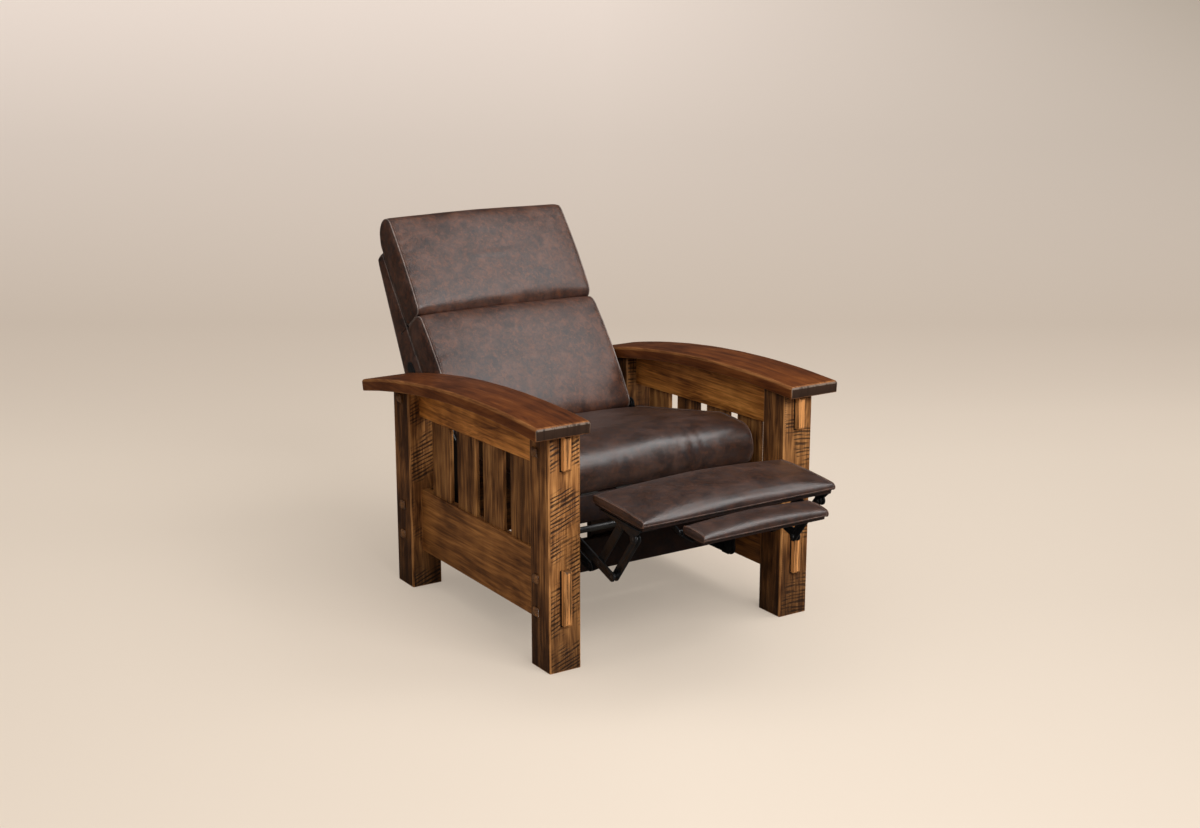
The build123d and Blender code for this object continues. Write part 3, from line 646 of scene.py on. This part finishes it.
def easeEdges(nodeName, pieceName, width, faceMaterial, edgeMaterial, body="frame"):
    piece = copyNode(nodeName, pieceName)
    dress(piece, faceMaterial, edgeMaterial)
    bevel = piece.modifiers.new("easedEdges", "BEVEL")
    bevel.width = width
    bevel.segments = 2
    bevel.limit_method = "ANGLE"
    bevel.angle_limit = math.radians(25)
    bevel.material = 1
    bevel.harden_normals = False
    applyAll(piece)
    bpy.ops.object.shade_smooth_by_angle(angle=math.radians(40))
    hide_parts(nodeName)
    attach(piece, body)


for nodeName in sorted(nodes):
    if nodeName.endswith(("post_left", "post_right")):
        face = postWood if nodeName.endswith("left") else levelPostWood
        easeEdges(nodeName, nodeName + ".worn", woodEdges["post"], face, wornGlintUpright)
    elif nodeName.startswith("slat_"):
        easeEdges(nodeName, nodeName + ".worn", woodEdges["rail"], slatWood, wornGlintUpright)
    elif nodeName.startswith(("lower_side_rail", "upper_side_rail", "rear_cross_rail")):
        face = {"upper": upperRailWood, "lower": railWood, "rear_": crossRailWood}[nodeName[:5]]
        easeEdges(nodeName, nodeName + ".worn", woodEdges["rail"], face, wornGlintLengthwise)
    elif nodeName.startswith("arm_"):
        easeEdges(nodeName, nodeName + ".worn", woodEdges["arm"], armWood, wornGlintArm)
easeEdges("frame_pegs", "frame_pegs.worn", woodEdges["peg"], pegWood, pegWood)


def makeCord(name, runs, radius, rounds, closed, material, body):
    # one tube for each run of places
    curve = bpy.data.curves.new(name, "CURVE")
    curve.dimensions = "3D"
    for run in runs:
        spline = curve.splines.new("POLY")
        spline.points.add(len(run) - 1)
        for point, place in zip(spline.points, run):
            point.co = (*place, 1)
        spline.use_cyclic_u = closed
    curve.bevel_depth = radius
    curve.bevel_resolution = rounds
    curve.use_fill_caps = not closed
    piece = bpy.data.objects.new(name, curve)
    scene.collection.objects.link(piece)
    pick(piece)
    bpy.ops.object.convert(target="MESH")
    piece = bpy.context.object
    bpy.ops.object.shade_smooth()
    dress(piece, material)
    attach(piece, body)
    return piece


# a near-black bead along each tenon's left and lower edge is a painted shadow, standing for the shaded gap of a
# mortise a little wider than its tenon
shadowLineValues = {"radius": 0.0032, "reveal": 0.0014, "flatness": 0.25}
for railName in ("lower_side_rail", "upper_side_rail"):
    for sideName in ("left", "right"):
        postFace = min(vertex.co.y for vertex in nodes["front_post_" + sideName].data.vertices)
        railCorners = [vertex.co for vertex in nodes[f"{railName}_{sideName}"].data.vertices]
        proud = [place for place in railCorners if place.y < postFace - 0.001]
        left = min(place.x for place in proud) - shadowLineValues["reveal"]
        right = max(place.x for place in proud)
        bottom = min(place.z for place in proud) - shadowLineValues["reveal"]
        top = max(place.z for place in proud)
        corners = [(left, top), (left, bottom), (right, bottom)]
        run = [(x, postFace, z) for x, z in corners]
        shadowLineName = f"{railName}_{sideName}.mouth"
        shadowLine = makeCord(shadowLineName, [run], shadowLineValues["radius"], 2, False, shadowLineWood, "frame")
        for vertex in shadowLine.data.vertices:
            vertex.co.y = postFace + (vertex.co.y - postFace) * shadowLineValues["flatness"]
print("wooden pieces dressed")


# cushions and pads are sewn covers, blown up by a short cloth simulation
cushionValues = {
    "seat_cushion": {
        "sideRoll": 0.006, "voxel": 0.006, "shrink": 0.003, "swell": 0.018, "pinned": 0.020,
        "calm": 4, "pucker": 0.0016, "stitchInset": 0.006, "noseRipple": 0.0016,
    },
    "lower_back_cushion": {
        "sideRoll": 0.005, "voxel": 0.006, "shrink": 0.003, "swell": 0.010, "pinned": 0.016,
        "calm": 10, "pucker": 0.0012, "stitchInset": 0.007,
    },
    "upper_back_cushion": {
        "sideRoll": 0.005, "voxel": 0.006, "shrink": 0.003, "swell": 0.010, "pinned": 0.016,
        "calm": 10, "pucker": 0.0012, "stitchInset": 0.007,
    },
    "ottoman_pad": {
        "sideRoll": 0.004, "voxel": 0.004, "shrink": 0.0015, "swell": 0.016, "pinned": 0.007,
        "calm": 14, "pucker": 0.0006, "stitchInset": 0.005, "frontSeam": -0.001, "dome": 0.011,
    },
    "flipper_pad": {
        "sideRoll": 0.004, "voxel": 0.0035, "shrink": 0.0015, "swell": 0.012, "pinned": 0.006,
        "calm": 14, "pucker": 0.0005, "stitchInset": 0.005, "frontSeam": -0.001, "dome": 0.005,
    },
}
clothValues = {"frames": 20, "pressure": 4.0, "stiffness": 18.0, "bending": 2.0, "mass": 0.3}
# gathers beside the seams, and soft creases that run over a front roll
gatherValues = {"fade": 0.030, "start": 0.006, "acrossScale": 14, "alongScale": 55}
creaseValues = {"depth": 0.055, "acrossScale": 48, "alongScale": 7, "groupScale": 6}
seamSizes = {"side": 0.0021, "front": 0.0010, "shell": 0.0016, "shellInset": 0.014, "step": 0.008}


def sideLoop(piece, side, reach):
    # the corners of a piece's outline near one side, in order round it
    corners = [vertex.co.copy() for vertex in piece.data.vertices if abs(vertex.co.x - side * reach) < 0.0005]
    middle = sum(corners, Vector()) / len(corners)
    return sorted(corners, key=lambda corner: math.atan2(corner.z - middle.z, corner.y - middle.y))


def alongPath(corners, step, closed=True):
    places = []
    ends = corners[1:] + corners[:1] if closed else corners[1:]
    for start, end in zip(corners, ends):
        count = max(1, round((end - start).length / step))
        places += [start.lerp(end, index / count) for index in range(count)]
    return places if closed else places + [corners[-1]]


def noiseOver(place, acrossScale, alongScale):
    return noise.noise(Vector((place.x * acrossScale, place.y * alongScale, place.z * alongScale)))


def blowUp(piece):
    # the cover swells under pressure where it is not pinned to a seam
    cloth = piece.modifiers.new("cover", "CLOTH")
    settings = cloth.settings
    settings.quality = 4
    settings.mass = clothValues["mass"]
    settings.tension_stiffness = clothValues["stiffness"]
    settings.compression_stiffness = clothValues["stiffness"]
    settings.shear_stiffness = clothValues["stiffness"] / 2
    settings.bending_stiffness = clothValues["bending"]
    settings.use_pressure = True
    settings.uniform_pressure_force = clothValues["pressure"]
    settings.effector_weights.gravity = 0
    settings.vertex_group_mass = "pinned"
    cloth.point_cache.frame_start = 1
    cloth.point_cache.frame_end = clothValues["frames"]
    for frameNumber in range(1, clothValues["frames"] + 1):
        scene.frame_set(frameNumber)
    pick(piece)
    bpy.ops.object.modifier_apply(modifier="cover")
    scene.frame_set(1)


def domePad(piece, dome):
    # the wadding lifts a pad's top in the middle and lets it fall to the seams
    wide = max(vertex.co.x for vertex in piece.data.vertices)
    near = min(vertex.co.y for vertex in piece.data.vertices)
    far = max(vertex.co.y for vertex in piece.data.vertices)
    for vertex in piece.data.vertices:
        across = abs(vertex.co.x) / wide
        along = abs(2 * (vertex.co.y - near) / (far - near) - 1)
        upward = max(0, vertex.normal.z)
        lift = (1 - across ** 4) * (1 - along ** 2.5) * upward
        vertex.co.z += dome * lift


def swellPiece(piece, values, seams):
    tree = kdtree.KDTree(len(seams))
    for index, place in enumerate(seams):
        tree.insert(place, index)
    tree.balance()
    pinned = piece.vertex_groups.new(name="pinned")
    distances = []
    for vertex in piece.data.vertices:
        distance = tree.find(vertex.co)[2]
        distances.append(distance)
        grip = 1 - min(1, max(0, (distance - values["pinned"] * 0.4) / values["pinned"]))
        pinned.add([vertex.index], grip, "REPLACE")
    before = [vertex.co.copy() for vertex in piece.data.vertices]
    blowUp(piece)
    largest = 0
    for vertex, start, distance in zip(piece.data.vertices, before, distances):
        move = vertex.co - start
        largest = max(largest, move.length)
        if move.length > 0.00001:
            move *= values["swell"] * math.tanh(move.length / values["swell"]) / move.length
        vertex.co = start + move
    print(piece.name, "moved", round(largest * 1000, 1), "mm before the cap of", values["swell"] * 1000)
    calm = piece.modifiers.new("calm", "SMOOTH")
    calm.factor = 0.5
    calm.iterations = values["calm"]
    applyAll(piece)
    if "dome" in values:
        domePad(piece, values["dome"])
    normals = [vertex.normal.copy() for vertex in piece.data.vertices]
    front = min(vertex.co.y for vertex in piece.data.vertices)
    for vertex, normal, distance in zip(piece.data.vertices, normals, distances):
        depth = math.exp(-distance / gatherValues["fade"]) * (1 - math.exp(-distance / gatherValues["start"]))
        ripple = noiseOver(vertex.co, gatherValues["acrossScale"], gatherValues["alongScale"])
        move = ripple * depth * values["pucker"]
        if "noseRipple" in values:
            roll = math.exp(-((vertex.co.y - front) / creaseValues["depth"]) ** 2)
            crease = noiseOver(vertex.co, creaseValues["acrossScale"], creaseValues["alongScale"])
            broad = 0.5 + noise.noise(Vector((vertex.co.x * creaseValues["groupScale"], 3, 5)))
            move += crease * max(0, broad) * roll * values["noseRipple"]
        vertex.co += normal * move


def layOn(surface, places, lift, closed):
    laid = []
    for place in places:
        spot, normal = surface.closest_point_on_mesh(place)[1:3]
        laid.append(spot + normal * lift)
    for _ in range(3):
        laid = [
            laid[index] if not closed and index in (0, len(laid) - 1)
            else (laid[index - 1] + laid[index] * 2 + laid[(index + 1) % len(laid)]) / 4
            for index in range(len(laid))
        ]
    return laid


def makeSeam(name, surface, places, radius, closed, body, material=seamHighlightLeather):
    # a thin welt that lies on the cover
    makeCord(name, [layOn(surface, places, radius * 0.35, closed)], radius, 2, closed, material, body)


stitchValues = {"length": 0.0038, "pitch": 0.0058, "radius": 0.00045}


def makeStitches(name, surface, places, closed, body):
    # one short tube for each stitch, along a path that is laid on the cover
    laid = layOn(surface, places, 0.0002, closed)
    runs = []
    travelled = stitchValues["pitch"] / 2
    for start, end in zip(laid, laid[1:] + (laid[:1] if closed else [])):
        length = (end - start).length
        if length < 0.000001:
            continue
        way = (end - start) / length
        while travelled < length:
            middle = start + way * travelled
            reach = way * stitchValues["length"] / 2
            runs.append([middle - reach, middle + reach])
            travelled += stitchValues["pitch"]
        travelled -= length
    makeCord(name, runs, stitchValues["radius"], 0, False, threadMaterial, body)


def makeCushion(nodeName, values, body):
    piece = copyNode(nodeName, nodeName + ".sewn")
    half = max(vertex.co.x for vertex in piece.data.vertices)
    reach = half - values["sideRoll"]
    for vertex in piece.data.vertices:
        if 0.9 * half < abs(vertex.co.x) < 0.97 * half:
            vertex.co.x = math.copysign(reach, vertex.co.x)
    loops = {side: sideLoop(piece, side, reach) for side in (-1, 1)}
    pick(piece)
    bpy.ops.object.mode_set(mode="EDIT")
    bpy.ops.mesh.select_all(action="SELECT")
    bpy.ops.mesh.quads_convert_to_tris()
    bpy.ops.transform.shrink_fatten(value=values["shrink"])
    bpy.ops.object.mode_set(mode="OBJECT")
    remesh = piece.modifiers.new("remesh", "REMESH")
    remesh.mode = "VOXEL"
    remesh.voxel_size = values["voxel"] * 1
    smooth = piece.modifiers.new("smooth", "SMOOTH")
    smooth.factor = 0.5
    smooth.iterations = 4
    applyAll(piece)
    seams = [place for side in loops for place in alongPath(loops[side], seamSizes["step"])]
    frontSeam = []
    if "frontSeam" in values:
        # a pad's front band is sewn on below its widest line
        nose = min(loops[-1], key=lambda corner: corner.y)
        ends = [Vector((side * reach, nose.y, nose.z + values["frontSeam"])) for side in (-1, 1)]
        frontSeam = alongPath(ends, seamSizes["step"], closed=False)
        seams += frontSeam
    swellPiece(piece, values, seams)
    piece.modifiers.new("smoother", "SUBSURF").levels = 1
    applyAll(piece)
    pick(piece)
    bpy.ops.object.shade_smooth()
    dress(piece, seatLeather if body == "back" else seatShadeLeather)
    for side, sideName in ((-1, "left"), (1, "right")):
        path = alongPath(loops[side], 0.006)
        welt = seamHighlightLeather if body == "back" else hemLeather
        makeSeam(f"{nodeName}.{sideName}Seam", piece, path, seamSizes["side"], True, body, welt)
        inward = [place - Vector((side * values["stitchInset"], 0, 0)) for place in path]
        makeStitches(f"{nodeName}.{sideName}Stitches", piece, inward, True, body)
    if frontSeam:
        makeSeam(f"{nodeName}.frontSeam", piece, frontSeam, seamSizes["front"], False, body, hemLeather)
    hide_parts(nodeName)
    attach(piece, body)


cushionBodies = {
    "seat_cushion": ("frame", 0.8),
    "lower_back_cushion": ("back", 0.8),
    "upper_back_cushion": ("back", 0.8),
    "ottoman_pad": ("ottoman", 0.85),
    "flipper_pad": ("flipper", 0.85),
}
for nodeName, (body, fill) in cushionBodies.items():
    makeCushion(nodeName, cushionValues[nodeName], body)
    print(nodeName, "sewn")


# pieces wrapped tightly in leather keep the CAD shape with soft edges
wrapValues = {
    "back_shell": {"radius": 0.010, "body": "back", "slot": "leather"},
    "front_cross_panel": {"radius": 0.005, "body": "frame", "slot": "leather_trim"},
    "seat_front_rail": {"radius": 0.005, "body": "frame", "slot": "leather_trim"},
    "ottoman_board": {"radius": 0.004, "body": "ottoman", "slot": "leather_trim"},
    "flipper_board": {"radius": 0.003, "body": "flipper", "slot": "leather_trim"},
}
shellReach = max(vertex.co.x for vertex in nodes["back_shell"].data.vertices)
for nodeName, values in wrapValues.items():
    piece = copyNode(nodeName, nodeName + ".wrapped")
    if nodeName == "back_shell":
        shellLoops = {side: sideLoop(piece, side, shellReach) for side in (-1, 1)}
    soften = piece.modifiers.new("softEdges", "BEVEL")
    soften.width = values["radius"]
    soften.segments = 4
    soften.limit_method = "ANGLE"
    soften.angle_limit = math.radians(25)
    applyAll(piece)
    bpy.ops.object.shade_smooth_by_angle(angle=math.radians(50))
    dress(piece, seatLeather if values["slot"] == "leather" else trimLeather)
    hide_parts(nodeName)
    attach(piece, values["body"])
    if nodeName == "back_shell":
        for side, sideName in ((-1, "left"), (1, "right")):
            path = alongPath(shellLoops[side], seamSizes["step"])
            makeSeam(f"back_shell.{sideName}Welt", piece, path, seamSizes["shell"], True, "back")
            inward = [place - Vector((side * seamSizes["shellInset"], 0, 0)) for place in path]
            makeStitches(f"back_shell.{sideName}Stitches", piece, inward, True, "back")

# a short slit runs back from the gap between the back cushions, and a tack ends it
slitValues = {
    "hinge": (0.293, 0.440),
    "lean": math.radians(36.3),
    "height": 0.352,
    "start": 0.066,
    "end": 0.097,
    "tack": 0.100,
    "radius": 0.0011,
    "tackRadius": 0.0034,
    "tackDepth": 0.0032,
    "tackDome": 0.0014,
}


def besideBack(side, depth):
    hingeY, hingeZ = slitValues["hinge"]
    lean = slitValues["lean"]
    height = slitValues["height"]
    return Vector((
        side * shellReach,
        hingeY + depth * math.cos(lean) + height * math.sin(lean),
        hingeZ - depth * math.sin(lean) + height * math.cos(lean),
    ))


for side, sideName in ((-1, "left"), (1, "right")):
    run = [besideBack(side, slitValues["start"]), besideBack(side, slitValues["end"])]
    makeCord(f"back_shell.{sideName}Slit", [run], slitValues["radius"], 2, False, trimLeather, "back")
    deselectAll()
    # a flat disc whose rim is rounded over into a low dome
    bpy.ops.mesh.primitive_cylinder_add(
        vertices=24, radius=slitValues["tackRadius"], depth=slitValues["tackDepth"],
        location=besideBack(side, slitValues["tack"]), rotation=(0, math.pi / 2, 0),
    )
    bpy.ops.object.transform_apply(location=True, rotation=True, scale=True)
    tack = bpy.context.object
    tack.name = f"back_shell.{sideName}Tack"
    dome = tack.modifiers.new("dome", "BEVEL")
    dome.width = slitValues["tackDome"]
    dome.segments = 4
    dome.limit_method = "ANGLE"
    dome.angle_limit = math.radians(40)
    applyAll(tack)
    bpy.ops.object.shade_smooth()
    dress(tack, darkZinc)
    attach(tack, "back")
print("wrapped pieces made")


# the stamped edges of the steel pieces catch the light
stampedEdge = 0.0006
steelSlots = {"black_steel": blackSteel, "zinc_steel": darkZinc}
for bodyName, members in frame["record"]["behaviour"]["bodies"].items():
    for part in frame["record"]["subparts"]:
        nodeName, slot = part["node"], part["material_slot"]
        if nodeName in members and slot in steelSlots:
            finish = steelSlots[slot]
            easeEdges(nodeName, nodeName + ".stamped", stampedEdge, finish, finish, bodyName)
print("steel pieces dressed")


# every CAD node gets a finish too
finishes = {
    "black_steel": blackSteel,
    "zinc_steel": darkZinc,
    "webbing": webMaterial,
    "inner_wood": innerWood,
    "leather_trim": trimLeather,
    "leather": seatLeather,
    "frame_wood": railWood,
    "arm_wood": armWood,
    "peg_wood": pegWood,
}
for part in frame["record"]["subparts"]:
    dress(nodes[part["node"]], finishes[part["material_slot"]])
print("CAD nodes finished")


# the studio is a pale floor that sweeps up behind, and soft lamps
studioValues = {
    "nearColour": (0.56, 0.48, 0.398),
    "nearRightShade": 0.17,
    "middleColour": (0.49, 0.415, 0.345),
    "farColour": (0.60, 0.52, 0.455),
    "topColour": (0.80, 0.70, 0.63),
    "cornerShadeColour": (0.36, 0.31, 0.25),
    "sweepStart": 2.5,
    "sweepRadius": 8.0,
    "glossyShare": 0.15,
    "paperShare": 0.74,
    "glowShare": 0.57,
    "worldColour": (0.97, 0.95, 0.93),
    "worldLow": 0.12,
    "worldHigh": 1.05,
}
lampValues = {
    "keyLamp": {"place": (0.2, -3.7, 3.1), "target": (0, 0, 0.4), "size": (2.8, 1.8), "power": 138},
    "frontBox": {"place": (1.75, -1.15, 3.1), "target": (0, 0.1, 0.7), "size": (1.3, 1.7), "power": 34},
    "overheadLamp": {"place": (0.4, 0.5, 3.2), "target": (0, 0, 0.4), "size": (3.0, 1.6), "power": 5},
}
bpy.ops.mesh.primitive_grid_add(x_subdivisions=4, y_subdivisions=240, size=48, location=(0, 0, 0))
floor = bpy.context.object
floor.name = "studioFloor"
for vertex in floor.data.vertices:
    past = vertex.co.y - studioValues["sweepStart"]
    radius = studioValues["sweepRadius"]
    turn = min(past / radius, math.pi / 2)
    if past > 0:
        vertex.co.y = studioValues["sweepStart"] + radius * math.sin(turn)
        vertex.co.z = radius * (1 - math.cos(turn)) + max(0, past - radius * math.pi / 2)
bpy.ops.object.mode_set(mode="EDIT")
bpy.ops.mesh.select_all(action="SELECT")
bpy.ops.transform.rotate(value=-azimuth, orient_axis="Z", center_override=(0, 0, 0))
bpy.ops.object.mode_set(mode="OBJECT")
bpy.ops.object.shade_smooth()
floorMaterial, tree, shader = newMaterial("studioPaper", Roughness=0.9)
shader.inputs["Specular IOR Level"].default_value = 0.05
split = addNode(tree, "ShaderNodeSeparateXYZ")
tree.links.new(objectPlace(tree), split.inputs[0])
behind = maths(
    tree, "SUBTRACT",
    maths(tree, "MULTIPLY", split.outputs["Y"], math.cos(azimuth)),
    maths(tree, "MULTIPLY", split.outputs["X"], math.sin(azimuth)),
)
away = maths(tree, "ADD", behind, split.outputs["Z"])
# the paper's colour changes with distance and height, a painted gradient of light and shade over the floor and
# the sweep
paper = colourRamp(tree, spread(tree, away, -2.0, 10.0), [
    (0.28, studioValues["nearColour"]),
    (0.46, studioValues["middleColour"]),
    (0.70, studioValues["farColour"]),
    (0.95, studioValues["topColour"]),
])
sideways = maths(
    tree, "ADD",
    maths(tree, "MULTIPLY", split.outputs["X"], math.cos(azimuth)),
    maths(tree, "MULTIPLY", split.outputs["Y"], math.sin(azimuth)),
)
# a painted shade darkens the far corner on the right, and the floor near the chair on the right
corner = maths(tree, "MULTIPLY", spread(tree, sideways, 0.0, 4.5), spread(tree, away, 3.0, 9.0))
paper = mixColour(tree, corner, paper, (*studioValues["cornerShadeColour"], 1))
toTheRight = spread(tree, sideways, 0.2, 1.8, 0.0, studioValues["nearRightShade"])
nearRightShadeMask = maths(tree, "MULTIPLY", toTheRight, spread(tree, away, 2.0, 0.0))
paper = mixColour(tree, nearRightShadeMask, paper, (0, 0, 0, 1))
# seen in a gloss, the paper is darker, as if black flags stood round the chair
rays = addNode(tree, "ShaderNodeLightPath").outputs
diffuse = mixColour(tree, 1.0, paper, [studioValues["paperShare"]] * 3 + [1], "MULTIPLY")
dimmed = mixColour(tree, 1.0, paper, [studioValues["glossyShare"]] * 3 + [1], "MULTIPLY")
tree.links.new(mixColour(tree, rays["Is Glossy Ray"], diffuse, dimmed), shader.inputs["Base Color"])
# a share of its own light keeps the shadow soft and pale, for the camera only
glow = mixColour(tree, 1.0, paper, [studioValues["glowShare"]] * 3 + [1], "MULTIPLY")
tree.links.new(mixColour(tree, rays["Is Camera Ray"], (0, 0, 0, 1), glow), shader.inputs["Emission Color"])
shader.inputs["Emission Strength"].default_value = 1.0
dress(floor, floorMaterial)

world = bpy.data.worlds.new("studioWorld")
scene.world = world
world.use_nodes = True
tree = world.node_tree
background = tree.nodes["Background"]
background.inputs["Color"].default_value = (*studioValues["worldColour"], 1)
glossy = addNode(tree, "ShaderNodeLightPath").outputs["Is Glossy Ray"]
height = addNode(tree, "ShaderNodeSeparateXYZ")
tree.links.new(addNode(tree, "ShaderNodeTexCoord").outputs["Generated"], height.inputs[0])
level = spread(tree, height.outputs["Z"], 0.0, 0.8, studioValues["worldLow"], studioValues["worldHigh"])
inGloss = spread(tree, glossy, 0, 1, 1.0, studioValues["glossyShare"])
tree.links.new(maths(tree, "MULTIPLY", level, inGloss), background.inputs["Strength"])


def addLamp(name, place, target, size, power):
    bpy.ops.object.light_add(type="AREA", location=place)
    lamp = bpy.context.object
    lamp.name = name
    lamp.data.shape = "RECTANGLE"
    lamp.data.size, lamp.data.size_y = size
    lamp.data.energy = power
    direction = Vector(target) - Vector(place)
    lamp.rotation_euler = direction.to_track_quat("-Z", "Y").to_euler()


for lampName, values in lampValues.items():
    addLamp(lampName, **values)
print("studio made")
